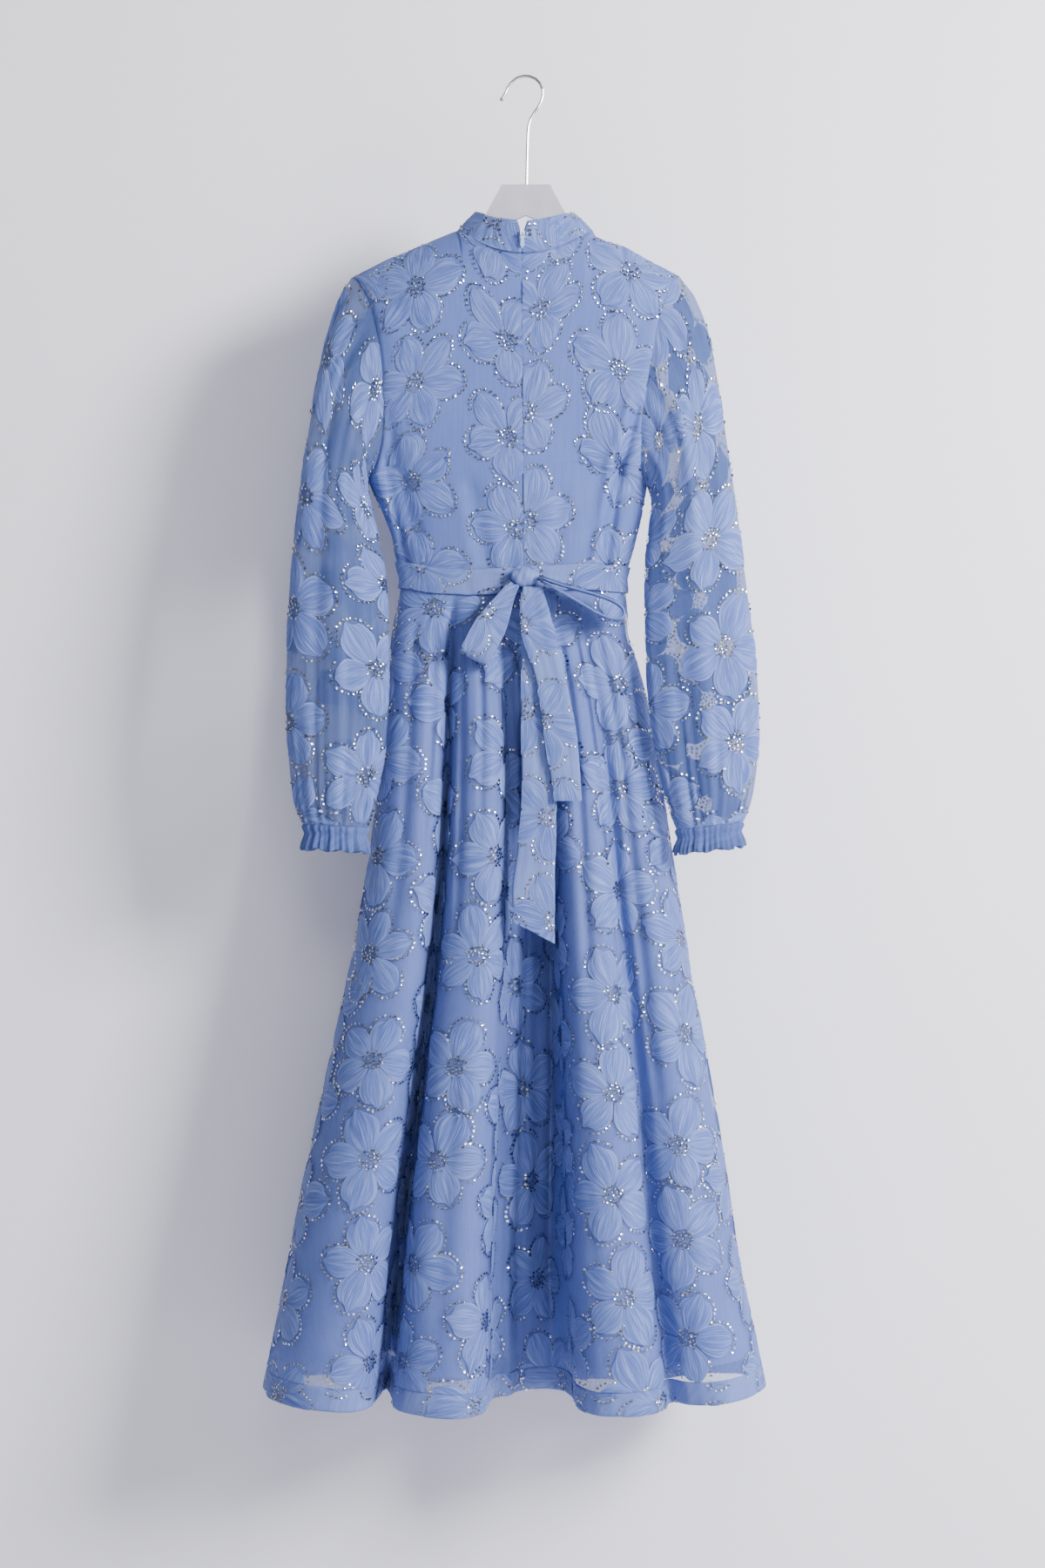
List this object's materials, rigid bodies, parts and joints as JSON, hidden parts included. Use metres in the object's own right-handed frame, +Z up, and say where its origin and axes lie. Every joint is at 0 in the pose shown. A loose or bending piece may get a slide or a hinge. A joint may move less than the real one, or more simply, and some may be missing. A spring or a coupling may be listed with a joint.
{
  "type": "long-sleeved sequin maxi dress on a hanger",
  "caption": "Pale blue full-length dress with a band collar, gathered cuffs, a tied belt and deep skirt folds, hanging from a wire-hook hanger with its back to the front.",
  "frame": {"origin": "where the hook rests on a rail: the top of the hook's inner bend", "axes": "+Z up, -Y towards the back of the dress (the side with the zip and the bow), +X to the right of someone looking at the back"},
  "size_m": [0.545, 0.1953, 1.4375],
  "materials": {
    "sheer_cloth": "sheer net with gathered petals and sequins",
    "lined_cloth": "net with petals and sequins over a plain lining",
    "doubled_cloth": "two layers, matt",
    "lining": "plain smooth lining",
    "zip_metal": "pale blue gloss enamel",
    "hanger_grey": "satin pale grey",
    "hook_steel": "satin wire"
  },
  "bodies": {
    "dress": {"skirt_back": "sheer_cloth", "skirt_front": "sheer_cloth", "hem_band": "doubled_cloth", "skirt_lining": "lining", "bodice_back_left": "lined_cloth", "bodice_back_right": "lined_cloth", "bodice_front": "lined_cloth", "collar": "doubled_cloth", "sleeve_left": "sheer_cloth", "sleeve_right": "sheer_cloth", "cuff_left": "doubled_cloth", "cuff_right": "doubled_cloth", "belt_band": "doubled_cloth", "bow_knot": "doubled_cloth", "bow_loop_left": "doubled_cloth", "bow_loop_right": "doubled_cloth", "tail_short": "doubled_cloth", "tail_long": "doubled_cloth", "zip_slider": "zip_metal", "hanger_body": "hanger_grey", "hanger_hook": "hook_steel"},
    "pull": {"zip_pull": "zip_metal"}
  },
  "joints": [
    {"name": "pull_swing", "type": "hinge", "parent": "dress", "child": "pull", "pos_m": [-0.0036, -0.0444, -0.1785], "axis": [-1, 0, 0], "range_deg": [0, 170]}
  ]
}
